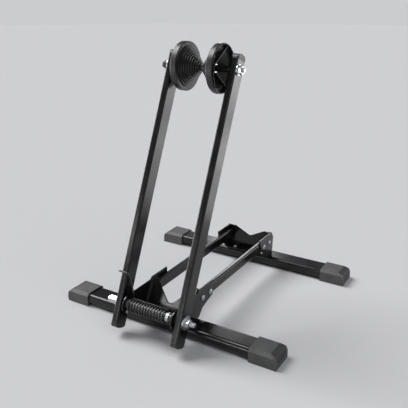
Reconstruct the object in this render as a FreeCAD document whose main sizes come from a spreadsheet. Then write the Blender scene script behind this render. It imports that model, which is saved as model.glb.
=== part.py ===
import FreeCAD, Part
import math
import os
import re
import Sketcher
from FreeCAD import Placement, Rotation, Vector

# Floor bike rack: a low steel stand that holds a bicycle by one wheel.
# X runs across the stand, Y from the arms to the rear, Z up; the origin is on the floor.

doc = FreeCAD.newDocument("floorBikeRack")
dim = doc.addObject("Spreadsheet::Sheet", "dim")

sizes = [
    ("baseWidth", 426, "over the rubber feet"),
    ("tubeSpacing", 316, "front tube to rear tube"),
    ("frontSetback", 131.65, "front tube ahead of the origin"),
    ("tubeDepth", 40, "cross tube, along Y"),
    ("tubeHeight", 20, "cross tube, along Z"),
    ("tubeWall", 1.5, "cross tube sheet"),
    ("tubeCorner", 7, "cross tube outer corner"),
    ("footWall", 2.5, "rubber round the tube"),
    ("footLength", 48, "foot along X"),
    ("footGrip", 36, "tube inside the foot"),
    ("footRound", 14, "nose of the foot"),
    ("footChamfer", 5, "top facet of the foot"),
    ("footRim", 5, "smooth side of the nose"),
    ("grooveCount", 8, "grooves over the nose"),
    ("grooveAngle", 76, "from first to last groove"),
    ("grooveWidth", 1.2, "across a groove"),
    ("grooveDepth", 1, "into the nose"),
    ("plugFit", 0.1, "between a tube and its end cap"),
    ("railFit", 0.05, "cheek to rail"),
    ("railThick", 9, "rail along X"),
    ("railTall", 20, "rail along Z"),
    ("railWall", 1.5, "rail sheet"),
    ("railCorner", 3, "rail outer corner"),
    ("railTop", 66, "top of the rails"),
    ("frontRailGap", 26, "front tube centre to rail end"),
    ("rearRailGap", 12.2, "rear tube centre to rail end"),
    ("sheetThick", 2.2, "saddle sheet"),
    ("cheekSpan", 94.2, "between the cheeks of a saddle"),
    ("cheekTop", 74, "top of a cheek"),
    ("cheekStep", 4, "ear edge below the cheek top"),
    ("frontReach", 66, "front cheek along the rail"),
    ("rearReach", 60, "rear cheek along the rail"),
    ("reachHeight", 46.5, "underside of a cheek at the rail"),
    ("skirtReach", 32, "knee of the cheek's lower edge"),
    ("skirtHeight", 36, "height of that knee"),
    ("flangeReach", 20, "flange, inward edge"),
    ("flangeFront", 18, "front flange, outward edge"),
    ("frontWebTop", 22.5, "top of the front web"),
    ("frontWebFoot", 9, "foot of the front web, outward"),
    ("rearWebTop", 8.3, "top of the rear web"),
    ("rearWebFoot", 3, "foot of the rear web"),
    ("shoulderReach", 6, "rear cheek, end of its level top"),
    ("shoulderOut", 3, "rear cheek, outermost corner"),
    ("shoulderHeight", 61, "height of that corner"),
    ("webRound", 7, "fillet between web and cheek"),
    ("notchRound", 10, "bottom of the V notch"),
    ("frontLean", 48, "side of the front notch from upright"),
    ("rearLean", 62, "side of the rear notch from upright"),
    ("frontNotch", 43, "lowest point of the front notch"),
    ("rearNotch", 57.5, "lowest point of the rear notch"),
    ("tabThick", 2, "tab along the rail"),
    ("tabReach", 34, "end of the tab"),
    ("tabLow", 52, "underside of the tab"),
    ("pivotForward", 48, "pivot ahead of the front tube"),
    ("pivotHeight", 53, "pivot above the floor"),
    ("earRadius", 17, "round end of the ear"),
    ("leanAngle", 24, "arms at rest, back from upright"),
    ("armGap", 4.5, "ear to arm"),
    ("armWidth", 12, "arm along X"),
    ("armDepth", 28, "arm front to back"),
    ("armWall", 1.5, "arm sheet"),
    ("armCorner", 3, "arm outer corner"),
    ("armAbove", 436, "pivot to the top end"),
    ("armBelow", 42.5, "pivot to the bottom end"),
    ("topLip", 10, "visible part of the top plug"),
    ("bottomLip", 10, "visible part of the bottom plug"),
    ("plugRound", 9, "corner of an arm plug seen from the side"),
    ("plugStem", 7, "plug inside the arm"),
    ("axleDrop", 26, "axle below the top end"),
    ("axleForward", 4, "axle ahead of the arm's middle"),
    ("rodDiameter", 8, "pivot rod and axle"),
    ("rodChamfer", 0.8, "rod end"),
    ("runningFit", 0.05, "radial, between a rod and what turns on it"),
    ("holeFit", 0.15, "radial, between a rod and a plain hole"),
    ("endPlay", 0.2, "sideways play of what turns"),
    ("washerOuter", 24, "washer"),
    ("washerThick", 1.6, "washer"),
    ("nutFlats", 13, "across the flats"),
    ("nutThick", 6.5, "hexagon nut"),
    ("jamThick", 4, "thin nut"),
    ("capDome", 5.9, "radius of the cap nut's dome"),
    ("capShank", 7.1, "cap nut up to the dome's centre"),
    ("capDepth", 9, "bore of the cap nut"),
    ("pivotTail", 9.7, "rod beyond the right pivot nut"),
    ("axleTail", 3.4, "axle beyond its nut"),
    ("bushFlange", 18.4, "nylon bush flange"),
    ("bushBarrel", 12, "nylon bush barrel"),
    ("sleeveOuter", 14, "sleeve between the ears"),
    ("collarOuter", 16, "spring collar"),
    ("collarThick", 2, "left collar"),
    ("innerCollarThick", 5, "right collar"),
    ("collarInset", 16.1, "right ear to right collar"),
    ("springRadius", 11, "mean radius of the coil"),
    ("wireDiameter", 3, "spring wire"),
    ("springTurns", 13, "turns of the coil"),
    ("springPitch", 5.65, "from turn to turn"),
    ("springInset", 3.1, "left ear to the coil"),
    ("legRise", 18, "left leg straight up from the coil"),
    ("legAlong", 52, "hook above the pivot, along the arm"),
    ("legOverhang", 4, "hook beyond the arm's outer face"),
    ("legDrop", 8, "right leg down from the coil"),
    ("legBend", 4, "bend of the legs"),
    ("seatGap", 0.3, "wire end to the face it meets"),
    ("railScrewDrop", 11, "screws below the rail top"),
    ("frontScrewNear", 31.5, "front tube centre to first screw"),
    ("frontScrewFar", 57, "front tube centre to second screw"),
    ("rearScrewNear", 18, "rear tube centre to first screw"),
    ("rearScrewFar", 44, "rear tube centre to second screw"),
    ("saddleScrewSide", 33, "saddle screw from the middle plane"),
    ("frontSaddleScrew", 7, "saddle screw behind the front tube centre"),
    ("rearSaddleScrew", 11, "saddle screw ahead of the rear tube centre"),
    ("screwShank", 5, "screw diameter"),
    ("screwHead", 9.5, "button head diameter"),
    ("screwDome", 2.75, "button head height"),
    ("socketFlats", 3, "hexagon socket"),
    ("socketDepth", 1.5, "hexagon socket"),
    ("screwEnd", 2, "screw past the last wall"),
    ("stopRadius", 12, "stop pin from the pivot"),
    ("stopLead", 26, "stop pin ahead of straight down"),
    ("stopPin", 4, "stop pin diameter"),
    ("stopHead", 7.5, "stop pin head"),
    ("stopDome", 2.2, "stop pin head height"),
    ("slotPlay", 0.3, "slot round the stop pin"),
    ("swingAngle", 50, "travel of the arms"),
    ("rollerTip", 0.3, "roller end from the middle plane"),
    ("tipRadius", 5.8, "first land of the cone"),
    ("landCount", 10, "lands of the cone"),
    ("landRise", 3.02, "from land to land, outward"),
    ("landRun", 2.77, "width of a land"),
    ("rimRadius", 40.5, "roller rim"),
    ("rimWidth", 11, "roller rim along X"),
    ("rimWall", 2, "roller rim"),
    ("rimRound", 1.5, "edges of the rim"),
    ("coneWall", 2, "thinnest wall of the cone"),
    ("hubRadius", 8, "roller hub"),
    ("hubEnd", 24, "hub from the middle plane"),
    ("ribCount", 6, "ribs behind the cone"),
    ("ribThick", 2, "rib"),
    ("ribInset", 3.5, "rib below the rim's edge"),
    ("hubBushOuter", 11, "steel bush in the hub"),
    ("hubBushFlange", 14, "its flange"),
    ("hubFlangeThick", 1, "its flange"),
    ("hubBushLength", 12, "its barrel"),
    ("axleSleeve", 11, "black sleeve on the axle"),
]
for row, (name, value, note) in enumerate(sizes, 1):
    dim.set("A%d" % row, name)
    dim.set("B%d" % row, str(value))
    dim.set("C%d" % row, note)
    dim.setAlias("B%d" % row, name)
doc.recompute()

# Places that several pieces share, as expressions over the sheet.
tubeTop = "(footWall + tubeHeight)"
flangeTop = "(footWall + tubeHeight + sheetThick)"
footTop = "(2 * footWall + tubeHeight)"
rearPlace = "(tubeSpacing - frontSetback)"
pivotPlace = "(-frontSetback - pivotForward)"
earTop = "(pivotHeight + earRadius)"
cheekInner = "(cheekSpan / 2)"
cheekOuter = "(cheekSpan / 2 + sheetThick)"
armInner = "(cheekSpan / 2 + sheetThick + armGap)"
armCentre = "(cheekSpan / 2 + sheetThick + armGap + armWidth / 2)"
armOuter = "(cheekSpan / 2 + sheetThick + armGap + armWidth)"
axleUp = "(armAbove - axleDrop)"
axlePlace = "(%s + %s * sin(leanAngle) - axleForward * cos(leanAngle))" % (pivotPlace, axleUp)
axleHeight = "(pivotHeight + %s * cos(leanAngle) + axleForward * sin(leanAngle))" % axleUp
railCentre = "(cheekSpan / 2 - railFit - railThick / 2)"


def bound(text):
    """The expression with every size read from the sheet."""
    return re.sub(r"[a-z][A-Za-z]+(?![A-Za-z(])", lambda word: "dim." + word.group(), text)


def number(text):
    return float(dim.evalExpression(bound(text)))


def origin(body, role):
    return next(item for item in body.Origin.OriginFeatures if item.Role == role)


def newBody(label):
    body = doc.addObject("PartDesign::Body", label)
    body.Label = label
    return body


def place(item, across="0", along="0", up="0", axis=None, turn="0"):
    """Put a sub-part in the frame of the stand, turned about one axis first."""
    if axis:
        item.Placement = Placement(Vector(), Rotation(Vector(*axis), number(turn)))
        item.setExpression("Placement.Rotation.Angle", bound(turn))
    for letter, text in zip("xyz", (across, along, up)):
        item.setExpression("Placement.Base." + letter, bound(text))


def newSketch(body, plane, offset):
    sketch = body.newObject("Sketcher::SketchObject", body.Name + "Sketch")
    sketch.AttachmentSupport = [(origin(body, plane), "")]
    sketch.MapMode = "FlatFace"
    sketch.setExpression("AttachmentOffset.Base.z", bound(offset))
    return sketch


def hold(sketch, kind, places, text):
    index = sketch.addConstraint(Sketcher.Constraint(kind, *places, number(text)))
    sketch.setExpression("Constraints[%d]" % index, bound(text))


def outline(body, plane, corners, arcs=None, offset="0"):
    """A closed outline; arcs maps a side to its radius and +1 where it bulges outward."""
    arcs = arcs or {}
    sketch = newSketch(body, plane, offset)
    spots = [Vector(number(a), number(b), 0) for a, b in corners]
    count = len(spots)
    ends = []
    for side, first in enumerate(spots):
        last = spots[(side + 1) % count]
        if side not in arcs:
            sketch.addGeometry(Part.LineSegment(first, last))
            ends.append((1, 2))
            continue
        radius, bulge = number(arcs[side][0]), arcs[side][1]
        chord = last - first
        away = Vector(-chord.y, chord.x, 0).normalize() * bulge
        centre = (first + last) / 2 + away * math.sqrt(max(radius ** 2 - chord.Length ** 2 / 4, 0))
        angles = [math.atan2(spot.y - centre.y, spot.x - centre.x) for spot in (first, last)]
        if bulge < 0:
            angles.reverse()
        sketch.addGeometry(Part.ArcOfCircle(Part.Circle(centre, Vector(0, 0, 1), radius), *angles))
        ends.append((1, 2) if bulge > 0 else (2, 1))
    for side in range(count):
        following = (side + 1) % count
        sketch.addConstraint(
            Sketcher.Constraint("Coincident", side, ends[side][1], following, ends[following][0]))
    for side, corner in enumerate(corners):
        for kind, text in zip(("DistanceX", "DistanceY"), corner):
            hold(sketch, kind, (side, ends[side][0]), text)
    for side, (radius, _) in arcs.items():
        hold(sketch, "Radius", (side,), radius)
    return sketch


def roundedOutline(body, plane, width, height, corner, offset="0"):
    """A rectangle about the sketch's origin with four equal rounded corners."""
    right = "(%s) / 2" % width
    top = "(%s) / 2" % height
    inRight = "(%s - (%s))" % (right, corner)
    inTop = "(%s - (%s))" % (top, corner)
    corners = [
        ("-" + inRight, "-" + top), (inRight, "-" + top),
        (right, "-" + inTop), (right, inTop),
        (inRight, top), ("-" + inRight, top),
        ("-" + right, inTop), ("-" + right, "-" + inTop),
    ]
    return outline(body, plane, corners, {side: (corner, 1) for side in (1, 3, 5, 7)}, offset)


def circles(body, plane, holes, offset="0"):
    sketch = newSketch(body, plane, offset)
    for index, (a, b, diameter) in enumerate(holes):
        centre = Vector(number(a), number(b), 0)
        sketch.addGeometry(Part.Circle(centre, Vector(0, 0, 1), number(diameter) / 2))
        hold(sketch, "DistanceX", (index, 3), a)
        hold(sketch, "DistanceY", (index, 3), b)
        hold(sketch, "Diameter", (index,), diameter)
    return sketch


def pad(body, sketch, length, middle=True, flip=False):
    feature = body.newObject("PartDesign::Pad", body.Name + "Pad")
    feature.Profile = sketch
    feature.setExpression("Length", bound(length))
    feature.Midplane = middle
    feature.Reversed = flip
    doc.recompute()
    return feature


def pocket(body, sketch, length, middle=True, flip=False):
    """Cut to a length, and make sure that material went."""
    before = body.Shape.Volume
    feature = body.newObject("PartDesign::Pocket", body.Name + "Pocket")
    feature.Profile = sketch
    feature.setExpression("Length", bound(length))
    feature.Midplane = middle
    feature.Reversed = flip
    doc.recompute()
    if body.Shape.Volume > before - 1e-3:
        raise ValueError(body.Label + ": a pocket cut nothing")
    return feature


def turned(body, corners, arcs=None):
    """Revolve an outline of (along X, radius) about the X axis."""
    feature = body.newObject("PartDesign::Revolution", body.Name + "Turn")
    feature.Profile = outline(body, "XZ_Plane", corners, arcs)
    feature.ReferenceAxis = (origin(body, "X_Axis"), [""])
    feature.Angle = 360
    doc.recompute()
    return feature


def soften(body, kind, radius, chosen):
    """Fillet or chamfer the edges that the test picks from the body so far."""
    base = body.Tip
    names = ["Edge%d" % number for number, edge in enumerate(base.Shape.Edges, 1) if chosen(edge)]
    feature = body.newObject("PartDesign::" + kind, body.Name + kind)
    feature.Base = (base, names)
    feature.setExpression("Radius" if kind == "Fillet" else "Size", bound(radius))
    doc.recompute()
    return feature


def through(edge, first, last):
    """Whether an edge joins two spots, either way round."""
    ends = [vertex.Point for vertex in edge.Vertexes]
    if len(ends) != 2:
        return False
    return any(a.distanceToPoint(first) < 0.01 and b.distanceToPoint(last) < 0.01
               for a, b in (ends, ends[::-1]))


def group(label, members):
    compound = doc.addObject("Part::Compound", label)
    compound.Label = label
    compound.Links = members
    return compound


def hexagon(body, flats, offset="0"):
    corner = "(%s) / 2 / cos(30)" % flats
    corners = [("%s * cos(%d)" % (corner, turn), "%s * sin(%d)" % (corner, turn)) for turn in range(30, 390, 60)]
    return outline(body, "YZ_Plane", corners, offset=offset)


# ---------------------------------------------------------------- base

def crossTube(label, along, screwLine):
    """Flat oval tube with rounded corners and two holes for the saddle screws."""
    body = newBody(label)
    length = "(baseWidth - 2 * (footLength - footGrip))"
    pad(body, roundedOutline(body, "YZ_Plane", "tubeDepth", "tubeHeight", "tubeCorner"), length)
    bore = roundedOutline(body, "YZ_Plane", "tubeDepth - 2 * tubeWall", "tubeHeight - 2 * tubeWall",
                          "tubeCorner - tubeWall")
    pocket(body, bore, length)
    hole = "screwShank + 2 * holeFit"
    holes = [("-saddleScrewSide", screwLine, hole), ("saddleScrewSide", screwLine, hole)]
    pocket(body, circles(body, "XY_Plane", holes, "(tubeHeight - tubeWall) / 2"), "2 * tubeWall")
    place(body, along=along, up="footWall + tubeHeight / 2")
    return body


def foot(label, across, along, turn):
    """Rubber cap on a tube's end; its origin is the centre of the rounded nose."""
    body = newBody(label)
    nose = "footRound"
    heel = "(footRound - footLength)"
    sole = "(footRound - (%s))" % footTop
    side = [(heel, sole), (nose, sole), (nose, "0"), ("0", nose), (heel, nose)]
    width = "(tubeDepth + 2 * footWall)"
    pad(body, outline(body, "XZ_Plane", side, {2: (nose, 1)}), width)
    for sign in ("", "-"):
        facet = [(sign + "%s / 2 + %s1" % (width, sign or "+"), "footRound + 1"),
                 (sign + "(%s / 2 - footChamfer - 1)" % width, "footRound + 1"),
                 (sign + "(%s / 2 + 1)" % width, "footRound - footChamfer - 1")]
        profile = outline(body, "YZ_Plane", facet, offset="footRound - footLength / 2")
        pocket(body, profile, "footLength + 2")
    groove = [("footRound - grooveDepth", "-grooveWidth / 2"), ("footRound + 1", "-grooveWidth / 2"),
              ("footRound + 1", "grooveWidth / 2"), ("footRound - grooveDepth", "grooveWidth / 2")]
    cut = pocket(body, outline(body, "XZ_Plane", groove), "%s - 2 * footRim" % width)
    pattern = body.newObject("PartDesign::PolarPattern", body.Name + "Grooves")
    pattern.Originals = [cut]
    pattern.Axis = (origin(body, "Y_Axis"), [""])
    pattern.Reversed = True
    pattern.setExpression("Angle", bound("grooveAngle"))
    pattern.setExpression("Occurrences", bound("grooveCount"))
    body.Tip = pattern
    doc.recompute()
    socket = newSocket(body)
    pocket(body, socket, "2 * (footGrip + plugFit)")
    place(body, across, along, "%s - footRound" % footTop, (0, 0, 1), turn)
    return body


def newSocket(body):
    """The tube's outline with its fit, on the foot's inner face."""
    middle = "(footRound - footWall - tubeHeight / 2)"
    right = "(tubeDepth / 2 + plugFit)"
    top = "(%s + tubeHeight / 2 + plugFit)" % middle
    low = "(%s - tubeHeight / 2 - plugFit)" % middle
    inRight = "(tubeDepth / 2 - tubeCorner)"
    inTop = "(%s + tubeHeight / 2 - tubeCorner)" % middle
    inLow = "(%s - tubeHeight / 2 + tubeCorner)" % middle
    corners = [("-" + inRight, low), (inRight, low), (right, inLow), (right, inTop),
               (inRight, top), ("-" + inRight, top), ("-" + right, inTop), ("-" + right, inLow)]
    arcs = {side: ("tubeCorner + plugFit", 1) for side in (1, 3, 5, 7)}
    return outline(body, "YZ_Plane", corners, arcs, "footRound - footLength")


def saddle(label, edge, arcs, webTop, webFoot, flangeEdge, notchFloor, lean, holes, screwLine, along, turn):
    """Folded sheet: two cheeks, a leaning web with a V notch between them and a flange on the tube."""
    body = newBody(label)
    pad(body, outline(body, "YZ_Plane", edge, arcs), "cheekSpan + 2 * sheetThick")
    slope = "((%s - (%s)) / (cheekTop - %s))" % (webTop, webFoot, flangeTop)
    run = "(sheetThick / cos(atan(%s)))" % slope
    low = "(%s - earRadius)" % tubeTop
    high = "(cheekTop + earRadius)"
    outward = [("-pivotForward - 2 * earRadius", low)]
    if flangeEdge == webFoot:
        foot = ("%s - %s * sheetThick" % (webFoot, slope), tubeTop)
        outward.append(("%s - %s * (sheetThick + earRadius)" % (webFoot, slope), low))
    else:
        foot = (webFoot, flangeTop)
        outward += [(flangeEdge, low), (flangeEdge, flangeTop), foot]
    outward += [(webTop, "cheekTop"), (webTop, high), ("-pivotForward - 2 * earRadius", high)]
    inward = [("%s + %s" % (webFoot, run), flangeTop), ("flangeReach", flangeTop), ("flangeReach", low),
              ("frontReach + earRadius", low), ("frontReach + earRadius", high),
              ("%s + %s" % (webTop, run), high), ("%s + %s" % (webTop, run), "cheekTop")]
    for loop in (outward, inward):
        pocket(body, outline(body, "YZ_Plane", loop), "cheekSpan")
    corners = [(number(foot[0]), number(foot[1])), (number(webTop), number("cheekTop"))]
    wall = number(cheekInner)
    soften(body, "Fillet", "webRound", lambda item: any(
        through(item, *(Vector(side * wall, a, b) for a, b in corners)) for side in (-1, 1)))
    centre = "(%s + notchRound)" % notchFloor
    across = "(notchRound * cos(%s))" % lean
    tangent = "(%s - notchRound * sin(%s))" % (centre, lean)
    brim = "(%s + (%s - %s) * tan(%s))" % (across, high, tangent, lean)
    notch = [("-" + across, tangent), (across, tangent), (brim, high), ("-" + brim, high)]
    pocket(body, outline(body, "XZ_Plane", notch, {0: ("notchRound", 1)}), "4 * frontReach")
    pocket(body, circles(body, "YZ_Plane", holes), "cheekSpan + 3 * sheetThick")
    hole = "screwShank + 2 * holeFit"
    holes = [("-saddleScrewSide", screwLine, hole), ("saddleScrewSide", screwLine, hole)]
    pocket(body, circles(body, "XY_Plane", holes, "%s + sheetThick / 2" % tubeTop), "2 * sheetThick")
    place(body, along=along, axis=(0, 0, 1), turn=turn)
    return body, slope, run


railScrewHeight = "(railTop - railScrewDrop)"
railHole = "screwShank + 2 * holeFit"
stopAlong = "(-pivotForward - stopRadius * sin(stopLead))"
stopHeight = "(pivotHeight - stopRadius * cos(stopLead))"

crossTube("front_tube", "-frontSetback", "frontSaddleScrew")
crossTube("rear_tube", rearPlace, "-rearSaddleScrew")

for label, across, along, turn in (
        ("front_left_foot", "footRound - baseWidth / 2", "-frontSetback", "180"),
        ("front_right_foot", "baseWidth / 2 - footRound", "-frontSetback", "0"),
        ("rear_left_foot", "footRound - baseWidth / 2", rearPlace, "180"),
        ("rear_right_foot", "baseWidth / 2 - footRound", rearPlace, "0")):
    foot(label, across, along, turn)

frontEdge = [
    ("-flangeFront", tubeTop), ("flangeReach", tubeTop), ("skirtReach", "skirtHeight"),
    ("frontReach", "reachHeight"), ("frontReach", "cheekTop"), ("frontWebTop - 2", "cheekTop"),
    ("frontWebTop - 2 - cheekStep", earTop), ("-pivotForward", earTop),
    ("-pivotForward - earRadius", "pivotHeight"), ("-pivotForward", "pivotHeight - earRadius"),
]
frontHoles = [
    ("-pivotForward", "pivotHeight", "rodDiameter + 2 * holeFit"),
    (stopAlong, stopHeight, "stopPin + 2 * holeFit"),
    ("frontScrewNear", railScrewHeight, railHole),
    ("frontScrewFar", railScrewHeight, railHole),
]
frontBracket, webSlope, webRun = saddle(
    "front_bracket", frontEdge, {7: ("earRadius", 1), 8: ("earRadius", 1)},
    "frontWebTop", "(-frontWebFoot)", "-flangeFront", "frontNotch", "frontLean", frontHoles,
    "frontSaddleScrew", "-frontSetback", "0")

# Tabs folded back from the web along the inner faces of the rails.
webLine = "(-frontWebFoot + %s / 2 + (%%s - %s) * %s)" % (webRun, flangeTop, webSlope)
tab = [(webLine % "tabLow", "tabLow"), ("tabReach", "tabLow"), ("tabReach", "railTop"),
       (webLine % "railTop", "railTop")]
tabs = pad(frontBracket, outline(frontBracket, "YZ_Plane", tab,
                                 offset="%s - railThick / 2 - tabThick" % railCentre), "tabThick", False)
mirrored = frontBracket.newObject("PartDesign::Mirrored", "front_bracketMirror")
mirrored.Originals = [tabs]
mirrored.MirrorPlane = (origin(frontBracket, "YZ_Plane"), [""])
frontBracket.Tip = mirrored

rearEdge = [
    ("0", tubeTop), ("flangeReach", tubeTop), ("skirtReach", "skirtHeight"),
    ("rearReach - 6", "reachHeight"), ("rearReach", "cheekTop"), ("shoulderReach", "cheekTop"),
    ("-shoulderOut", "shoulderHeight"),
]
rearHoles = [("rearScrewNear", railScrewHeight, railHole), ("rearScrewFar", railScrewHeight, railHole)]
saddle("rear_bracket", rearEdge, {}, "rearWebTop", "rearWebFoot", "rearWebFoot", "rearNotch", "rearLean",
       rearHoles, "rearSaddleScrew", rearPlace, "180")


def rail(label, side):
    """Thin box tube along Y, with screw holes in the wall that meets the cheeks."""
    body = newBody(label)
    length = "(tubeSpacing - frontRailGap - rearRailGap)"
    middle = "(frontRailGap + %s / 2)" % length
    pad(body, roundedOutline(body, "XZ_Plane", "railThick", "railTall", "railCorner"), length)
    pocket(body, roundedOutline(body, "XZ_Plane", "railThick - 2 * railWall", "railTall - 2 * railWall",
                                "railCorner - railWall"), length)
    level = "(railTall / 2 - railScrewDrop)"
    spots = ["frontScrewNear - " + middle, "frontScrewFar - " + middle,
             "tubeSpacing - rearScrewFar - " + middle, "tubeSpacing - rearScrewNear - " + middle]
    pocket(body, circles(body, "YZ_Plane", [(spot, level, railHole) for spot in spots],
                         side + "(railThick - railWall) / 2"), "2 * railWall")
    place(body, side + railCentre, "-frontSetback + " + middle, "railTop - railTall / 2")
    return body


rail("left_rail", "-")
rail("right_rail", "")


def screw(name, across, along, up, axis, turn, shank, head, dome, length):
    """Button head screw along X: the head's seat at the origin, the dome towards +X."""
    body = newBody(name)
    crown = "(%s * 0.55)" % dome
    corners = [("-(%s)" % length, "0"), ("-(%s)" % length, "%s / 2 - rodChamfer / 2" % shank),
               ("-(%s) + rodChamfer / 2" % length, "%s / 2" % shank), ("0", "%s / 2" % shank),
               ("0", "%s / 2" % head), ("%s - %s" % (dome, crown), "%s / 2" % head),
               (dome, "%s / 4 + socketFlats / 5" % head), (dome, "0")]
    turned(body, corners, {5: ("%s * 0.62" % head, -1)})
    pocket(body, hexagon(body, "socketFlats", dome), "2 * socketDepth")
    place(body, across, along, up, axis, turn)
    return body


def railScrews(label, lines):
    screws = []
    for side, turn in (("-", "180"), ("", "0")):
        for line in lines:
            name = "%s_%d" % (label, len(screws) + 1)
            screws.append(screw(name, side + cheekOuter, line, railScrewHeight, (0, 0, 1), turn,
                                "screwShank", "screwHead", "screwDome", "sheetThick + railWall + screwEnd"))
    return group(label, screws)


railScrews("front_rail_screws", ["frontScrewNear - frontSetback", "frontScrewFar - frontSetback"])
railScrews("rear_rail_screws", [rearPlace + " - rearScrewNear", rearPlace + " - rearScrewFar"])

for label, line in (("front_saddle_screws", "frontSaddleScrew - frontSetback"),
                    ("rear_saddle_screws", rearPlace + " - rearSaddleScrew")):
    group(label, [screw(
        label + name, side + "saddleScrewSide", line, flangeTop, (0, -1, 0), "90",
        "screwShank", "screwHead", "screwDome", "sheetThick + tubeWall + 2 * screwEnd")
        for name, side in (("_1", "-"), ("_2", ""))])

group("stop_screws", [screw(
    "stop_screws" + name, side + cheekInner, "%s - frontSetback" % stopAlong, stopHeight, (0, 0, 1), turn,
    "stopPin", "stopHead", "stopDome", "sheetThick + armGap + armWall + screwEnd")
    for name, side, turn in (("_1", "-", "0"), ("_2", "", "180"))])


# ---------------------------------------------------------------- pivot and axle hardware

def rod(label, left, right, along, up):
    body = newBody(label)
    radius = "rodDiameter / 2"
    turned(body, [(left, "0"), (left, radius + " - rodChamfer"), (left + " + rodChamfer", radius),
                  (right + " - rodChamfer", radius), (right, radius + " - rodChamfer"), (right, "0")])
    place(body, along=along, up=up)
    return body


def ring(label, start, thick, outer, bore, along, up):
    """Plain ring about the rod, from start outwards along X."""
    body = newBody(label)
    pad(body, circles(body, "YZ_Plane", [("0", "0", outer), ("0", "0", bore)]), thick, False)
    place(body, start, along, up)
    return body


def nut(label, start, thick, along, up, turn="0", cap=False):
    """Hexagon nut that faces +X, or -X when turned; a cap nut has a dome over a blind bore."""
    body = newBody(label)
    bore = "rodDiameter + 2 * runningFit"
    pad(body, hexagon(body, "nutFlats"), thick, False)
    bevel = "nutFlats * (1 / cos(30) - 1)"
    corner = "nutFlats / 2 / cos(30)"
    ends = [("%s - %s / 4" % (thick, bevel), thick)] + ([] if cap else [(bevel + " / 4", "0")])
    for inner, face in ends:
        groove = body.newObject("PartDesign::Groove", label + "Bevel")
        groove.Profile = outline(body, "XZ_Plane", [
            (inner, corner + " + 0.1"), (face, "nutFlats / 2"), (face, corner + " + 0.1")])
        groove.ReferenceAxis = (origin(body, "X_Axis"), [""])
        groove.Angle = 360
        doc.recompute()
    if cap:
        turned(body, [(thick + " - 1", "0"), (thick + " - 1", "capDome"), ("capShank", "capDome"),
                      ("capShank + capDome", "0")], {2: ("capDome", -1)})
    depth = "capDepth" if cap else thick + " + 1"
    pocket(body, circles(body, "YZ_Plane", [("0", "0", bore)]), depth, False, True)
    place(body, start, along, up, (0, 0, 1), turn)
    return body


washerSeat = "(%s + endPlay)" % armOuter
nutSeat = "(%s + washerThick)" % washerSeat
rodBore = "rodDiameter + 2 * runningFit"
rod("pivot_bolt", "-%s - nutThick - jamThick - capDepth + 0.5" % nutSeat,
    "%s + nutThick + pivotTail" % nutSeat, pivotPlace, "pivotHeight")
group("pivot_washers", [
    ring("pivot_washers_1", "-" + nutSeat, "washerThick", "washerOuter", rodBore, pivotPlace, "pivotHeight"),
    ring("pivot_washers_2", washerSeat, "washerThick", "washerOuter", rodBore, pivotPlace, "pivotHeight")])
group("pivot_nuts", [
    nut("pivot_nuts_1", nutSeat, "nutThick", pivotPlace, "pivotHeight"),
    nut("pivot_nuts_2", "-" + nutSeat, "nutThick", pivotPlace, "pivotHeight", "180"),
    nut("pivot_nuts_3", "-%s - nutThick" % nutSeat, "jamThick", pivotPlace, "pivotHeight", "180"),
    nut("pivot_nuts_4", "-%s - nutThick - jamThick" % nutSeat, "nutThick", pivotPlace, "pivotHeight",
        "180", True)])
ring("spacer_tube", "endPlay / 2 - " + cheekInner, "cheekSpan - endPlay", "sleeveOuter", rodBore,
     pivotPlace, "pivotHeight")
collarBore = "sleeveOuter + 2 * runningFit"
group("spring_collars", [
    ring("spring_collars_1", "endPlay / 2 - " + cheekInner, "collarThick", "collarOuter", collarBore,
         pivotPlace, "pivotHeight"),
    ring("spring_collars_2", cheekInner + " - collarInset", "innerCollarThick", "collarOuter", collarBore,
         pivotPlace, "pivotHeight")])

axleSeat = "(%s + washerThick)" % armOuter
rod("axle_bolt", "-%s - capDepth + 0.5" % axleSeat, "%s + nutThick + axleTail" % axleSeat,
    axlePlace, axleHeight)
smallWasher = "0.75 * washerOuter"
group("axle_washers", [
    ring("axle_washers_1", "-" + axleSeat, "washerThick", smallWasher, rodBore, axlePlace, axleHeight),
    ring("axle_washers_2", armOuter, "washerThick", smallWasher, rodBore, axlePlace, axleHeight)])
group("axle_nuts", [
    nut("axle_nuts_1", axleSeat, "nutThick", axlePlace, axleHeight),
    nut("axle_nuts_2", "-" + axleSeat, "nutThick", axlePlace, axleHeight, "180", True)])
sleeveStart = "(hubEnd + hubFlangeThick + endPlay)"
sleeveLength = "(%s - %s)" % (armInner, sleeveStart)
group("axle_spacers", [
    ring("axle_spacers_1", "-" + armInner, sleeveLength, "axleSleeve", rodBore, axlePlace, axleHeight),
    ring("axle_spacers_2", sleeveStart, sleeveLength, "axleSleeve", rodBore, axlePlace, axleHeight)])


# ---------------------------------------------------------------- arms

def polar(radius, angle):
    return "(%s) * cos(%s)" % (radius, angle), "(%s) * sin(%s)" % (radius, angle)


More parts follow.
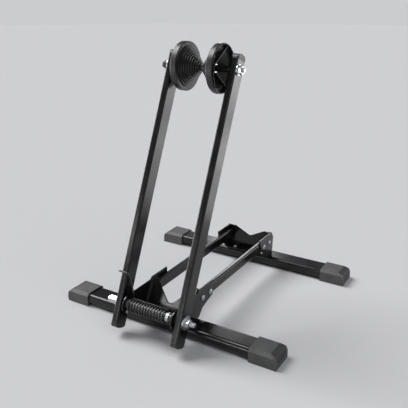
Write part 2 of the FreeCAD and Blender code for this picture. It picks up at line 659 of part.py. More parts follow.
def arm(label, side):
    """Flat box tube whose origin is the pivot and whose length runs along its own Z."""
    body = newBody(label)
    length = "(armAbove + armBelow - topLip - bottomLip)"
    start = "(bottomLip - armBelow)"
    pad(body, roundedOutline(body, "XY_Plane", "armWidth", "armDepth", "armCorner", start), length, False)
    bore = roundedOutline(body, "XY_Plane", "armWidth - 2 * armWall", "armDepth - 2 * armWall",
                          "armCorner - armWall", start)
    pocket(body, bore, length, False, True)
    holes = [("0", "0", "bushBarrel + 2 * runningFit"), ("-axleForward", axleUp, "rodDiameter + 2 * holeFit")]
    pocket(body, circles(body, "YZ_Plane", holes), "2 * armWidth")
    # Arc slot for the stop pin, in the wall that faces the ear.
    rest = "(-90 - stopLead + leanAngle)"
    far = "(-90 - stopLead + leanAngle - swingAngle)"
    half = "(stopPin / 2 + slotPlay)"
    outer = "(stopRadius + %s)" % half
    inner = "(stopRadius - %s)" % half
    slot = [polar(outer, far), polar(outer, rest), slotTip(rest, half, ""), polar(inner, rest),
            polar(inner, far), slotTip(far, half, "-")]
    arcs = {0: (outer, 1), 1: (half, 1), 2: (half, 1), 3: (inner, -1), 4: (half, 1), 5: (half, 1)}
    inward = "" if side == "-" else "-"
    pocket(body, outline(body, "YZ_Plane", slot, arcs, inward + "(armWidth - armWall) / 2"), "2 * armWall")
    place(body, side + armCentre, pivotPlace, "pivotHeight", (-1, 0, 0), "leanAngle")
    return body


def slotTip(angle, half, sign):
    """Outermost spot of a slot's round end, ahead of the pin's centre along its circle."""
    return ("stopRadius * cos(%s) - %s%s * sin(%s)" % (angle, sign, half, angle),
            "stopRadius * sin(%s) + %s%s * cos(%s)" % (angle, sign, half, angle))


def plug(name, side, end, sign):
    """End plug of an arm: a lip as wide as the tube, rounded in side view, and a stem inside it."""
    body = newBody(name)
    lip = "topLip" if sign == "" else "bottomLip"
    seam = "(%s - %s)" % (end, lip)
    up = sign == ""
    pad(body, roundedOutline(body, "XY_Plane", "armWidth", "armDepth", "armCorner", sign + seam),
        lip, False, not up)
    stem = "2 * (armWall + plugFit)"
    pad(body, roundedOutline(body, "XY_Plane", "armWidth - " + stem, "armDepth - " + stem,
                             "armCorner - armWall - plugFit", sign + seam), "plugStem", False, up)
    for edge in ("", "-"):
        corner = [(edge + "(armDepth / 2)", "%s(%s - plugRound)" % (sign, end)),
                  (edge + "(armDepth / 2 - plugRound)", "%s%s" % (sign, end)),
                  (edge + "(armDepth / 2 - plugRound)", "%s(%s + 1)" % (sign, end)),
                  (edge + "(armDepth / 2 + 1)", "%s(%s + 1)" % (sign, end)),
                  (edge + "(armDepth / 2 + 1)", "%s(%s - plugRound)" % (sign, end))]
        bulge = 1 if (edge == "") == (sign == "") else -1
        pocket(body, outline(body, "YZ_Plane", corner, {0: ("plugRound", bulge)}), "2 * armWidth")
    place(body, side + armCentre, pivotPlace, "pivotHeight", (-1, 0, 0), "leanAngle")
    return body


arm("left_arm", "-")
arm("right_arm", "")
for label, end, sign in (("top_plugs", "armAbove", ""), ("bottom_plugs", "armBelow", "-")):
    group(label, [plug(label + "_1", "-", end, sign), plug(label + "_2", "", end, sign)])


def bush(name, across, turn, flange, flangeThick, barrel, length, along, up):
    """Flanged bush: the flange's far face at the origin, the barrel towards +X."""
    body = newBody(name)
    bore = "rodDiameter / 2 + runningFit"
    turned(body, [("0", bore), ("0", flange + " / 2"), (flangeThick, flange + " / 2"),
                  (flangeThick, barrel + " / 2"), (flangeThick + " + " + length, barrel + " / 2"),
                  (flangeThick + " + " + length, bore)])
    place(body, across, along, up, (0, 0, 1), turn)
    return body


group("arm_bushes", [
    bush("arm_bushes" + name, across, turn, "bushFlange", "(armGap - endPlay)", "bushBarrel",
         "armWidth", pivotPlace, "pivotHeight")
    for name, across, turn in (("_1", "-%s - endPlay" % cheekOuter, "180"),
                               ("_2", "%s + endPlay" % cheekOuter, "0"))])


# ---------------------------------------------------------------- torsion spring

def spot(across, along, up):
    return Vector(number(across), number(along), number(up))


def tangentArc(start, corner, finish):
    """Arc tangent to two equal legs that meet at a corner."""
    chord = (start + finish) / 2
    half = (finish - start).Length / 2
    reach = (corner - chord).Length
    if reach < 1e-9:
        return Part.LineSegment(start, finish)
    depth = half * math.tan(math.atan2(reach, half) / 2)
    return Part.Arc(start, chord + (corner - chord) * (depth / reach), finish)


def coilEdges(turns, pitch, radius, left, axisAlong, axisUp):
    """Helix about the pivot in quarter turns, each of two tangent arcs, from right to left."""
    def at(angle):
        return Vector(-left + pitch * (turns - angle / (2 * math.pi)),
                      axisAlong + radius * math.cos(angle), axisUp + radius * math.sin(angle))

    def heading(angle):
        return Vector(-pitch / (2 * math.pi), -radius * math.sin(angle), radius * math.cos(angle)).normalize()

    edges = []
    for quarter in range(int(turns * 4)):
        first, last = quarter * math.pi / 2, (quarter + 1) * math.pi / 2
        start, finish = at(first), at(last)
        leave, arrive = heading(first), heading(last)
        gap = finish - start
        a = 2 * (1 - leave.dot(arrive))
        b = 2 * gap.dot(leave + arrive)
        reach = (-b + math.sqrt(b * b + 4 * a * gap.dot(gap))) / (2 * a)
        control = start + leave * reach
        other = finish - arrive * reach
        joint = (control + other) / 2
        edges.append(tangentArc(start, control, joint).toShape())
        edges.append(tangentArc(joint, other, finish).toShape())
    return edges, at(0), heading(0), at(turns * 2 * math.pi), heading(turns * 2 * math.pi)


def bentEdges(points, bends):
    """Straight runs joined by tangent arcs of the given radii."""
    edges = []
    start = points[0]
    for corner, following, radius in zip(points[1:], points[2:], bends):
        before = (corner - start).normalize()
        after = (following - corner).normalize()
        trim = radius * math.tan(before.getAngle(after) / 2)
        enter, leave = corner - before * trim, corner + after * trim
        edges.append(Part.LineSegment(start, enter).toShape())
        edges.append(tangentArc(enter, corner, leave).toShape())
        start = leave
    edges.append(Part.LineSegment(start, points[-1]).toShape())
    return edges


radius, pitch, wire = number("springRadius"), number("springPitch"), number("wireDiameter")
bend = number("legBend")
coil, rightEnd, rightHeading, leftEnd, leftHeading = coilEdges(
    number("springTurns"), pitch, radius, number(cheekInner + " - springInset"), number(pivotPlace),
    number("pivotHeight"))

drop = rightEnd - rightHeading * number("legDrop")
anchor = Vector(number(cheekInner) - number("seatGap"), drop.y, drop.z)
rightLeg = bentEdges([anchor, drop, rightEnd], [bend])

hookOut = "(armDepth / 2 + wireDiameter / 2 + plugFit)"
hookAlong = "(%s + legAlong * sin(leanAngle) - %s * cos(leanAngle))" % (pivotPlace, hookOut)
hookUp = "(pivotHeight + legAlong * cos(leanAngle) + %s * sin(leanAngle))" % hookOut
clearOfArm = "(wireDiameter / 2 - %s + 1.2)" % armInner
rise = leftEnd + leftHeading * number("legRise")
lean = spot(clearOfArm, "%s + springRadius + 2" % pivotPlace, "pivotHeight + legRise + 19")
hook = spot(clearOfArm, hookAlong, hookUp)
tip = spot("-%s - legOverhang" % armOuter, hookAlong, hookUp)
leftLeg = bentEdges([leftEnd, rise, lean, hook, tip], [bend * 1.5, bend * 1.5, bend])

path = Part.Wire(rightLeg + coil + leftLeg)
profile = Part.Wire(Part.Circle(anchor, Vector(1, 0, 0), wire / 2).toShape())
spring = doc.addObject("Part::Feature", "torsion_spring")
spring.Label = "torsion_spring"
spring.Shape = path.makePipeShell([profile], True, False)

# Least gap of the wire to itself, between spots more than three diameters apart along it.
marks, travelled = [], 0
for edge in path.Edges:
    count = max(2, int(edge.Length / (wire / 3)))
    marks += [(travelled + edge.Length * n / count, edge.valueAt(
        edge.getParameterByLength(edge.Length * n / count))) for n in range(count)]
    travelled += edge.Length
leastGap = min(a.distanceToPoint(b) for n, (run, a) in enumerate(marks)
               for further, b in marks[n + 1:n + 160] if further - run > 3 * wire) - wire
print("spring: wire length %.0f, least gap %.2f, volume %.0f of %.0f" % (
    path.Length, leastGap, spring.Shape.Volume, math.pi * wire ** 2 / 4 * path.Length))


# ---------------------------------------------------------------- rollers

def roller(label, turn):
    """Hollow cone of stepped lands with a rim, ribs behind it and a bored hub."""
    body = newBody(label)
    lands = int(number("landCount"))
    rimStart = "(rollerTip + landCount * landRun)"
    rimEnd = "(%s + rimWidth)" % rimStart
    bore = "(rodDiameter / 2 + 2 * holeFit)"
    seat = "(hubBushOuter / 2)"
    slope = "(landRise / landRun)"
    shell = "(coneWall / cos(atan(%s)))" % slope
    inside = "(tipRadius - %s + (%%s - rollerTip - landRun) * %s)" % (shell, slope)
    hubRoot = "(rollerTip + landRun + (hubRadius + %s - tipRadius) / %s)" % (shell, slope)
    backFace = "(%s + rimWall)" % rimStart
    corners = [("rollerTip", bore), ("rollerTip", "tipRadius")]
    for land in range(1, lands):
        step = "rollerTip + %d * landRun" % land
        corners += [(step, "tipRadius + %d * landRise" % (land - 1)), (step, "tipRadius + %d * landRise" % land)]
    corners += [
        (rimStart, "tipRadius + %d * landRise" % (lands - 1)), (rimStart, "rimRadius"), (rimEnd, "rimRadius"),
        (rimEnd, "rimRadius - rimWall"), (backFace, "rimRadius - rimWall"), (backFace, inside % backFace),
        (hubRoot, "hubRadius"), ("hubEnd", "hubRadius"), ("hubEnd", seat),
        ("hubEnd - hubBushLength", seat), ("hubEnd - hubBushLength", bore)]
    turned(body, corners)
    rim = number("rimRadius")
    soften(body, "Fillet", "rimRound", lambda edge: len(edge.Vertexes) == 1
           and abs(edge.Curve.Radius - rim) < 0.01)
    top = "(rimRadius - rimWall / 2)"
    rib = [("%s + 2" % hubRoot, "hubRadius - 1"), ("hubEnd - 1", "hubRadius - 1"),
           ("hubEnd - 1", "hubRadius + 2"), ("%s - ribInset" % rimEnd, top),
           ("%s - 1" % backFace, top), ("%s - 1" % backFace, inside % rimStart)]
    web = pad(body, outline(body, "XY_Plane", rib), "ribThick")
    pattern = body.newObject("PartDesign::PolarPattern", label + "Ribs")
    pattern.Originals = [web]
    pattern.Axis = (origin(body, "X_Axis"), [""])
    pattern.Angle = 360
    pattern.setExpression("Occurrences", bound("ribCount"))
    body.Tip = pattern
    place(body, along=axlePlace, up=axleHeight, axis=(0, 0, 1), turn=turn)
    return body


def hubBush(label, across, turn):
    """Steel bush pressed into the hub, its flange on the hub's end."""
    body = newBody(label)
    bore = "rodDiameter / 2 + runningFit"
    barrel, flange = "hubBushOuter / 2", "hubBushFlange / 2"
    end = "-hubFlangeThick - hubBushLength"
    turned(body, [("0", bore), ("0", flange), ("-hubFlangeThick", flange), ("-hubFlangeThick", barrel),
                  (end, barrel), (end, bore)])
    place(body, across, axlePlace, axleHeight, (0, 0, 1), turn)
    return body


roller("right_roller", "0")
roller("left_roller", "180")
hubBush("right_roller_bush", "hubEnd + hubFlangeThick", "0")
hubBush("left_roller_bush", "-hubEnd - hubFlangeThick", "180")

# ---------------------------------------------------------------- checks and files

doc.recompute()
for item in doc.Objects:
    if "Invalid" in item.State or "Error" in item.State:
        raise RuntimeError("%s did not compute: %s" % (item.Label, item.State))

members = {link.Name for item in doc.Objects if item.TypeId == "Part::Compound" for link in item.Links}
pieces = [item for item in doc.Objects
          if item.TypeId in ("PartDesign::Body", "Part::Compound", "Part::Feature") and item.Name not in members]
for piece in pieces:
    if piece.Shape.isNull() or not piece.Shape.isValid():
        raise RuntimeError(piece.Label + " has no valid shape")

os.makedirs("parts", exist_ok=True)
for piece in pieces:
    piece.Shape.exportStep("parts/%s.step" % piece.Label)
    print("%-20s %d solids, volume %.0f" % (piece.Label, len(piece.Shape.Solids), piece.Shape.Volume))
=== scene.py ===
import bpy
import bmesh
import math
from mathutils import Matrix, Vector


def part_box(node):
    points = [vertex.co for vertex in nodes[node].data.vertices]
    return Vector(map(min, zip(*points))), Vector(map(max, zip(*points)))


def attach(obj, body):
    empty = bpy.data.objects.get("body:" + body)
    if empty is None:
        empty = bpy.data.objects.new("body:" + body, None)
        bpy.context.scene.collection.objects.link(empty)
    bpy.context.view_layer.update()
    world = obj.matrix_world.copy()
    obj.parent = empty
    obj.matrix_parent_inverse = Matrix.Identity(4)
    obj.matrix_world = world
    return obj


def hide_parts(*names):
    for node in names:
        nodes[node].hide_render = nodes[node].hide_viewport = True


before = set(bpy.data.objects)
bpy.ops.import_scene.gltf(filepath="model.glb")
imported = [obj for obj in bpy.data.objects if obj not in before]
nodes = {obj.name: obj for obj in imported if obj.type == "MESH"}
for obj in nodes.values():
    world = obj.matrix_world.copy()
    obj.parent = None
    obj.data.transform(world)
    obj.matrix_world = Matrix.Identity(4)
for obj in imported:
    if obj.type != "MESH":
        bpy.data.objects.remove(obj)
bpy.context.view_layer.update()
print("frame loaded:", len(nodes), "nodes")


class Signal:
    # one shader socket, so that shader maths reads as plain expressions
    def __init__(self, tree, socket=None):
        self.tree = tree
        self.socket = socket

    def node(self, kind, settings=None, values=None, out=0):
        made = self.tree.nodes.new("ShaderNode" + kind)
        for key, value in (settings or {}).items():
            setattr(made, key, value)
        for key, value in (values or {}).items():
            if isinstance(value, Signal):
                self.tree.links.new(value.socket, made.inputs[key])
            else:
                made.inputs[key].default_value = value
        return Signal(self.tree, made.outputs[out] if made.outputs else None)

    def maths(self, operation, first, second=0.0):
        return self.node("Math", {"operation": operation}, {0: first, 1: second})

    def __add__(self, other):
        return self.maths("ADD", self, other)

    __radd__ = __add__

    def __sub__(self, other):
        return self.maths("SUBTRACT", self, other)

    def __rsub__(self, other):
        return self.maths("SUBTRACT", other, self)

    def __mul__(self, other):
        return self.maths("MULTIPLY", self, other)

    __rmul__ = __mul__

    def between(self, low, high):
        # eases from 0 at low to 1 at high
        return self.node("MapRange", {"interpolation_type": "SMOOTHSTEP"}, {0: self, 1: low, 2: high})


def newFinish(name):
    material = bpy.data.materials.new(name)
    material.use_nodes = True
    material.node_tree.nodes.clear()
    return material, Signal(material.node_tree)


def finishSurface(start, varying, fixed):
    # the shader at the end of a material: varying sockets and plain ones
    shader = start.node("BsdfPrincipled", {}, {**fixed, **varying})
    start.node("OutputMaterial", {}, {"Surface": shader})


def objectPlace(start):
    return start.node("TexCoord", out="Object")


def edges(start, low, high):
    # 1 on sharp outer edges, 0 on flat faces
    return start.node("NewGeometry", out="Pointiness").between(low, high)


def grain(start, place, scale, detail=4.0, roughness=0.55):
    values = {"Vector": place, "Scale": scale, "Detail": detail, "Roughness": roughness}
    return start.node("TexNoise", {}, values)


def tint(start, amount, low, high):
    # a colour between two tones, plain or varying, by an amount
    ends = [tone if isinstance(tone, Signal) else (*tone, 1) for tone in (low, high)]
    return start.node("Mix", {"data_type": "RGBA"}, {0: amount, 6: ends[0], 7: ends[1]}, out=2)


def scaled(tone, factor):
    return tuple(value * factor for value in tone)


def relief(start, height, depth, normal=None):
    values = {"Height": height, "Distance": depth, "Strength": 1.0}
    if normal:
        values["Normal"] = normal
    return start.node("Bump", {}, values)


def stretched(start, place, factors):
    return start.node("VectorMath", {"operation": "MULTIPLY"}, {0: place, 1: factors})


# gloss black coating of the steel tubes and saddles
coating = {
    "deep": (0.0045, 0.0045, 0.0050),
    "thin": (0.0095, 0.0095, 0.0100),
    "roughness": 0.11,
    "haze": 0.07,           # what clouds, scuffs, specks and edges add to it
    "scuffs": 0.16,
    "speckHaze": 0.10,
    "edgeHaze": 0.08,
    "specular": 0.42,
    "cloudSize": 34,        # sizes are in cells per metre
    "peelSize": 620,        # orange peel
    "speckSize": 2600,
    "scuffSize": 420,
    "scuffStretch": 0.16,   # less than 1 draws the scuffs out along Y and Z
    "peelDepth": 0.00006,
}


def makeCoating():
    material, start = newFinish("glossBlackCoating")
    place = objectPlace(start)
    cloud = grain(start, place, coating["cloudSize"], 3)
    peel = grain(start, place, coating["peelSize"], 2, 0.4)
    specks = grain(start, place, coating["speckSize"], 1).between(0.70, 0.76)
    drawn = stretched(start, place, (1, coating["scuffStretch"], coating["scuffStretch"]))
    scuffs = grain(start, drawn, coating["scuffSize"], 5, 0.7).between(0.60, 0.78)
    edge = edges(start, 0.53, 0.62)
    tone = tint(start, cloud.between(0.35, 0.7) * 0.7 + edge * 0.3, coating["deep"], coating["thin"])
    rough = (coating["roughness"] + cloud.between(0.3, 0.75) * coating["haze"]
             + scuffs * coating["scuffs"] + specks * coating["speckHaze"] + edge * coating["edgeHaze"])
    finishSurface(start, {
        "Base Color": tone, "Roughness": rough,
        "Normal": relief(start, peel + specks * 0.35, coating["peelDepth"]),
    }, {"Specular IOR Level": coating["specular"], "IOR": 1.5})
    return material


# dark grey moulded rubber of the feet
footRubber = {
    "dark": (0.046, 0.046, 0.047),
    "pale": (0.098, 0.098, 0.100),
    # painted shade: the near-black tone painted into the grooves and creases
    "grooveShade": (0.006, 0.006, 0.006),
    "roughness": 0.60,
    "cloudSize": 60,
    "grainSize": 1900,
    "pitSize": 5200,
    "grainDepth": 0.00016,
    "grooveReach": 0.0022,  # how far the painted shade reaches into the grooves, metres
    "dustTop": 0.009,       # height up to which dust clings, metres
}


def makeRubber():
    material, start = newFinish("mouldedFootRubber")
    place = objectPlace(start)
    cloud = grain(start, place, footRubber["cloudSize"], 4)
    fine = grain(start, place, footRubber["grainSize"], 3, 0.6)
    pits = grain(start, place, footRubber["pitSize"], 1).between(0.62, 0.72)
    edge = edges(start, 0.52, 0.60)
    reach = {"Distance": footRubber["grooveReach"]}
    # painted shade: ambient occlusion darkens the grooves and creases of the feet towards the near-black tone
    clear = start.node("AmbientOcclusion", {"samples": 8}, reach, out="AO")
    shade = 1 - clear.between(0.25, 0.85)
    height = start.node("SeparateXYZ", {}, {0: place}, out="Z")
    dust = (1 - height.between(0.0, footRubber["dustTop"])) * cloud.between(0.35, 0.65)
    tone = tint(start, cloud.between(0.3, 0.7) * 0.45 + fine * 0.35 + edge * 0.35 + dust * 0.3,
                footRubber["dark"], footRubber["pale"])
    finishSurface(start, {
        "Base Color": tint(start, shade, tone, footRubber["grooveShade"]),
        "Roughness": footRubber["roughness"] + fine * 0.14 - edge * 0.12 + dust * 0.1,
        "Normal": relief(start, fine - pits * 0.5, footRubber["grainDepth"]),
    }, {"Specular IOR Level": 0.45, "IOR": 1.5})
    return material


# bright zinc plate of the nuts, washers, screws and rods
zincPlate = {
    "bright": (0.52, 0.53, 0.55),
    "dull": (0.20, 0.205, 0.215),
    "roughness": 0.27,
    "leftNutDark": (0.030, 0.030, 0.032),
    "leftNutDarkRange": 1.8,   # how much paler the darkened left nut gets where the clouds are high
    "cloudSize": 240,
    "spotSize": 1500,
    "markSize": 5200,       # turning marks per metre along a rod
    "markStretch": 0.03,
    "markDepth": 0.00003,
}


def makeZinc(name, darkenLeftNut=False):
    material, start = newFinish(name)
    place = objectPlace(start)
    cloud = grain(start, place, zincPlate["cloudSize"], 4)
    drawn = stretched(start, place, (1, zincPlate["markStretch"], zincPlate["markStretch"]))
    marks = grain(start, drawn, zincPlate["markSize"], 2, 0.5)
    spots = grain(start, place, zincPlate["spotSize"], 2).between(0.66, 0.78)
    edge = edges(start, 0.50, 0.60)
    tone = tint(start, cloud.between(0.45, 0.8) * 0.5 + spots * 0.4 - edge * 0.2,
                zincPlate["bright"], zincPlate["dull"])
    # the nuts on the left side of the axle are darkened to a near-black tone
    if darkenLeftNut:
        side = start.node("SeparateXYZ", {}, {0: place}, out="X").between(-0.01, 0.01)
        leftNutDark = zincPlate["leftNutDark"]
        dark = tint(start, cloud, leftNutDark, scaled(leftNutDark, zincPlate["leftNutDarkRange"]))
        tone = tint(start, side, dark, tone)
    finishSurface(start, {
        "Base Color": tone,
        "Roughness": zincPlate["roughness"] + cloud.between(0.3, 0.8) * 0.16 + spots * 0.2 + marks * 0.06,
        "Normal": relief(start, marks + cloud * 0.5, zincPlate["markDepth"]),
    }, {"Metallic": 1.0, "IOR": 1.5})
    return material


# oiled black steel: spring wire and sleeves
blackSteel = {
    "dark": (0.0085, 0.0085, 0.0095),
    "worn": (0.030, 0.029, 0.028),
    "roughness": 0.24,
    "oil": 0.25,
    "oilRoughness": 0.12,
    "cloudSize": 150,
    "drawSize": 1500,
    "rubSize": 520,
    "drawDepth": 0.00005,
}


def makeBlackSteel():
    material, start = newFinish("oiledBlackSteel")
    place = objectPlace(start)
    cloud = grain(start, place, blackSteel["cloudSize"], 4)
    drawn = grain(start, place, blackSteel["drawSize"], 3, 0.6)
    rubbed = grain(start, place, blackSteel["rubSize"], 3, 0.7).between(0.56, 0.72)
    tone = tint(start, rubbed * 0.5 + cloud.between(0.4, 0.8) * 0.3, blackSteel["dark"], blackSteel["worn"])
    finishSurface(start, {
        "Base Color": tone,
        "Roughness": blackSteel["roughness"] + rubbed * 0.16 + drawn * 0.10,
        "Normal": relief(start, drawn, blackSteel["drawDepth"]),
    }, {"Specular IOR Level": 0.6, "Coat Weight": blackSteel["oil"],
        "Coat Roughness": blackSteel["oilRoughness"], "IOR": 1.5})
    return material


# satin black plastic: rollers, arm plugs and bushes
satinPlastic = {
    "dark": (0.012, 0.012, 0.013),
    "pale": (0.024, 0.024, 0.025),
    "rollerRoughness": 0.30,
    "plugRoughness": 0.40,
    "bushRoughness": 0.46,
    "cloudSize": 75,
    "ringPitch": 0.00045,   # fine mould turning lines round the axle, metres
    "ringDepth": 0.000025,
    "grainSize": 2400,
    "grainDepth": 0.00007,
}


def makePlastic(name, roughness, centre=None):
    material, start = newFinish(name)
    place = objectPlace(start)
    cloud = grain(start, place, satinPlastic["cloudSize"], 3)
    fine = grain(start, place, satinPlastic["grainSize"], 2, 0.6)
    edge = edges(start, 0.52, 0.62)
    tone = tint(start, cloud.between(0.3, 0.7) * 0.6 + edge * 0.4, satinPlastic["dark"], satinPlastic["pale"])
    normal = relief(start, fine, satinPlastic["grainDepth"])
    if centre:
        offset = start.node("VectorMath", {"operation": "SUBTRACT"}, {0: place, 1: centre})
        spoke = stretched(start, offset, (0, 1, 1))
        radius = start.node("VectorMath", {"operation": "LENGTH"}, {0: spoke}, out="Value")
        rings = start.maths("SINE", radius * (2 * math.pi / satinPlastic["ringPitch"]))
        normal = relief(start, rings, satinPlastic["ringDepth"], normal)
    finishSurface(start, {
        "Base Color": tone,
        "Roughness": roughness + cloud.between(0.3, 0.75) * 0.10 + fine * 0.08 - edge * 0.05,
        "Normal": normal,
    }, {"Specular IOR Level": 0.5, "IOR": 1.5})
    return material


low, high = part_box("axle_bolt")
axleCentre = (low + high) / 2

coatingFinish = makeCoating()
rubberFinish = makeRubber()
zincFinish = makeZinc("brightZincPlate")
axleNutFinish = makeZinc("zincWithDarkLeftNut", True)
steelFinish = makeBlackSteel()
rollerFinish = makePlastic("ringedRollerPlastic", satinPlastic["rollerRoughness"],
                           (0.0, axleCentre.y, axleCentre.z))
plugFinish = makePlastic("grainedPlugPlastic", satinPlastic["plugRoughness"])
bushFinish = makePlastic("nylonBush", satinPlastic["bushRoughness"])
print("finishes made")

# feet are rubber, and what isn't named here is bright zinc
finishOfNode = {
    "front_tube": coatingFinish, "rear_tube": coatingFinish,
    "front_bracket": coatingFinish, "rear_bracket": coatingFinish,
    "left_rail": coatingFinish, "right_rail": coatingFinish,
    "left_arm": coatingFinish, "right_arm": coatingFinish,
    "axle_nuts": axleNutFinish,
    "torsion_spring": steelFinish, "spacer_tube": steelFinish, "axle_spacers": steelFinish,
    "left_roller": rollerFinish, "right_roller": rollerFinish,
    "top_plugs": plugFinish, "bottom_plugs": plugFinish, "arm_bushes": bushFinish,
}
for name, node in nodes.items():
    finish = rubberFinish if name.endswith("_foot") else finishOfNode.get(name, zincFinish)
    node.data.materials.clear()
    node.data.materials.append(finish)
print("CAD pieces dressed")


def newPiece(name, mesh, finish, body):
    piece = bpy.data.objects.new(name, mesh)
    bpy.context.scene.collection.objects.link(piece)
    mesh.materials.append(finish)
    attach(piece, body)
    return piece


# threaded rods through the pivot and the rollers, in metres
thread = {
    "crest": 0.0040,
    "root": 0.0035,
    "pitch": 0.00125,
    "crestReach": 0.125,    # from the middle of the crest, in shares of the pitch
    "rootReach": 0.375,
    "endBevel": 0.0008,
    "endDrop": 0.0003,      # end face below the root
    "sides": 28,
    "ringsPerPitch": 6,
}


def threadedRod(name, left, right, centre):
    # a helical thread: each ring of points climbs and falls with the angle along the rod
    sides, pitch = thread["sides"], thread["pitch"]
    length, perPitch = right - left, thread["ringsPerPitch"]
    flank = thread["rootReach"] - thread["crestReach"]
    mesh = bmesh.new()
    steps = [n * pitch / perPitch for n in range(int(length / pitch * perPitch) + 1)] + [length]
    rings = []
    for step in steps:
        ring = []
        taper = min(step, length - step) / thread["endBevel"]
        crest = min(thread["crest"], thread["root"] - thread["endDrop"] + taper * thread["endBevel"])
        for side in range(sides):
            turn = 2 * math.pi * side / sides
            phase = (step / pitch - side / sides) % 1.0
            wave = max(0.0, min(1.0, (thread["rootReach"] - abs(phase - 0.5)) / flank))
            radius = min(crest, thread["root"] + (thread["crest"] - thread["root"]) * wave)
            ring.append(mesh.verts.new((left + step, centre.y + radius * math.cos(turn),
                                        centre.z + radius * math.sin(turn))))
        rings.append(ring)
    for first, second in zip(rings, rings[1:]):
        for side in range(sides):
            after = (side + 1) % sides
            mesh.faces.new((first[side], first[after], second[after], second[side]))
    mesh.faces.new(rings[0][::-1])
    mesh.faces.new(rings[-1])
    bmesh.ops.recalc_face_normals(mesh, faces=mesh.faces)
    for face in mesh.faces:
        face.smooth = len(face.verts) == 4
    data = bpy.data.meshes.new(name)
    mesh.to_mesh(data)
    mesh.free()
    return data


for name, node, body in (("pivotThread", "pivot_bolt", "base"), ("axleThread", "axle_bolt", "arms")):
    low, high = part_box(node)
    rod = newPiece(name, threadedRod(name, low.x, high.x, (low + high) / 2), zincFinish, body)
    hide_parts(node)
print("threaded rods made")


# floor, wall and sky
stage = {
    "floorTone": (0.62, 0.62, 0.63),
    "floorFade": 0.985,     # the darkest of the floor's clouds
    "floorSize": 160,
    "floorDrop": 0.0002,    # below the soles of the feet
    "wallTone": (0.60, 0.605, 0.62),
    "wallFade": 0.99,
    "wallRadius": 9.0,
    "wallHeight": 2.7,
    "wallSides": 96,
    "skyTone": (0.92, 0.95, 1.0),
    "skyStrength": 0.16,
}


def makeFloor():
    bpy.ops.mesh.primitive_plane_add(size=stage["floorSize"], location=(0, 0, -stage["floorDrop"]))
    floor = bpy.context.object
    floor.name = "studioFloor"
    material, start = newFinish("paleFloor")
    cloud = grain(start, objectPlace(start), 3, 3)
    tone = tint(start, cloud, stage["floorTone"], scaled(stage["floorTone"], stage["floorFade"]))
    finishSurface(start, {"Base Color": tone, "Roughness": 0.8 + cloud * 0.1}, {"Specular IOR Level": 0.0})
    floor.data.materials.append(material)


def makeWall():
    # a low pale wall far round the stand, so that the horizon is as light as the floor
    ring = bmesh.new()
    bmesh.ops.create_cone(ring, cap_ends=False, segments=stage["wallSides"], radius1=stage["wallRadius"],
                          radius2=stage["wallRadius"], depth=stage["wallHeight"])
    mesh = bpy.data.meshes.new("studioWall")
    ring.to_mesh(mesh)
    ring.free()
    wall = bpy.data.objects.new("studioWall", mesh)
    bpy.context.scene.collection.objects.link(wall)
    wall.location.z = stage["wallHeight"] / 2
    material, start = newFinish("paleWall")
    cloud = grain(start, objectPlace(start), 0.4, 2)
    tone = tint(start, cloud, stage["wallTone"], scaled(stage["wallTone"], stage["wallFade"]))
    # the wall glows to the camera and in reflections, and lights nothing
    seen = (start.node("LightPath", out="Is Camera Ray") + start.node("LightPath", out="Is Glossy Ray")
            + start.node("LightPath", out="Is Transmission Ray"))
    finishSurface(start, {"Emission Color": tint(start, seen, (0, 0, 0), tone)}, {
        "Base Color": (0, 0, 0, 1), "Roughness": 1.0, "Specular IOR Level": 0.0, "Emission Strength": 1.0})
    mesh.materials.append(material)
    wall.visible_shadow = False
    wall.visible_diffuse = False


def makeSky():
    world = bpy.data.worlds.new("studioSky")
    bpy.context.scene.world = world
    world.use_nodes = True
    world.node_tree.nodes.clear()
    start = Signal(world.node_tree)
    sky = start.node("Background", {}, {"Color": (*stage["skyTone"], 1), "Strength": stage["skyStrength"]})
    start.node("OutputWorld", {}, {"Surface": sky})


# soft suns: where they shine from, strength, and degrees across for soft shadows
suns = {
    "sunLamp": ((-0.72, -0.04, 0.86), 2.7, 34),
    "fillLamp": ((0.52, -0.30, 0.80), 0.8, 60),
}

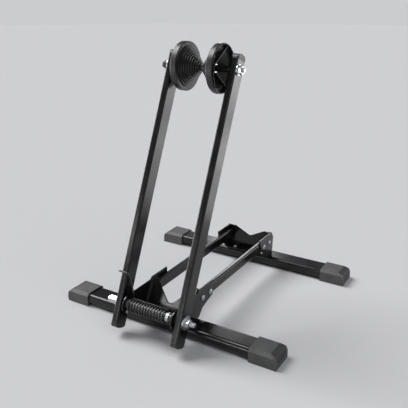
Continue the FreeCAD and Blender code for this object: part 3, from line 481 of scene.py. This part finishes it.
# panels that only draw highlights: place, target, width, height and brightness of the surface
panels = {
    "leftPanel": ((-1.35, -0.30, 0.46), (0, -0.1, 0.24), 1.10, 0.92, 6.5),
    "rightBackPanel": ((0.95, 1.55, 0.28), (0, 0, 0.36), 0.9, 0.56, 3.6),
    "farFloorPanel": ((0.66, 1.00, 0.004), (0.66, 1.00, 1), 0.50, 0.60, 3.0),
    "nearFloorPanel": ((0.42, 0.52, 0.004), (0.42, 0.52, 1), 0.40, 0.36, 1.6),
    "backPanel": ((-0.80, 1.66, 0.93), (0.03, 0.05, 0.06), 0.30, 0.30, 9),
    "topPanel": ((-0.42, -0.28, 1.30), (0.02, -0.12, 0.02), 0.42, 0.34, 7),
    "webPanel": ((-0.325, -0.60, 0.335), (0.0, -0.12, 0.055), 0.09, 0.08, 9),
    "lowPanel": ((-0.42, -1.70, 0.26), (0.12, -0.13, 0.02), 0.26, 0.46, 10),
}


def addLamp(name, kind, place, target):
    data = bpy.data.lights.new(name, kind)
    lamp = bpy.data.objects.new(name, data)
    bpy.context.scene.collection.objects.link(lamp)
    lamp.location = place
    lamp.rotation_euler = (Vector(target) - Vector(place)).to_track_quat("-Z", "Y").to_euler()
    return lamp


def makeLamps():
    for name, (place, strength, spread) in suns.items():
        lamp = addLamp(name, "SUN", place, (0, 0, 0))
        lamp.data.energy = strength
        lamp.data.angle = math.radians(spread)
    for name, (place, target, width, height, brightness) in panels.items():
        panel = addLamp(name, "AREA", place, target)
        panel.data.shape = "RECTANGLE"
        panel.data.size, panel.data.size_y = width, height
        panel.data.energy = brightness * math.pi * width * height
        panel.visible_camera = False
        panel.visible_diffuse = False


makeFloor()
makeWall()
makeSky()
makeLamps()
print("stage and lamps ready")

# camera: degrees round and above the stand, then metres and millimetres
view = {
    "azimuth": 31.0,
    "elevation": 20.45,
    "distance": 1.016,
    "target": (0.011, -0.0315, 0.1965),
    "lens": 51.1765,
    "sensorWidth": 36,
}


def makeCamera():
    azimuth, elevation = math.radians(view["azimuth"]), math.radians(view["elevation"])
    back = Vector((math.sin(azimuth) * math.cos(elevation), -math.cos(azimuth) * math.cos(elevation),
                   math.sin(elevation)))
    data = bpy.data.cameras.new("viewCamera")
    data.lens = view["lens"]
    data.sensor_width = view["sensorWidth"]
    camera = bpy.data.objects.new("viewCamera", data)
    bpy.context.scene.collection.objects.link(camera)
    camera.location = Vector(view["target"]) + back * view["distance"]
    camera.rotation_euler = (-back).to_track_quat("-Z", "Y").to_euler()
    bpy.context.scene.camera = camera


makeCamera()
bpy.context.scene.view_settings.view_transform = "Standard"
print("camera ready")

bpy.context.view_layer.update()
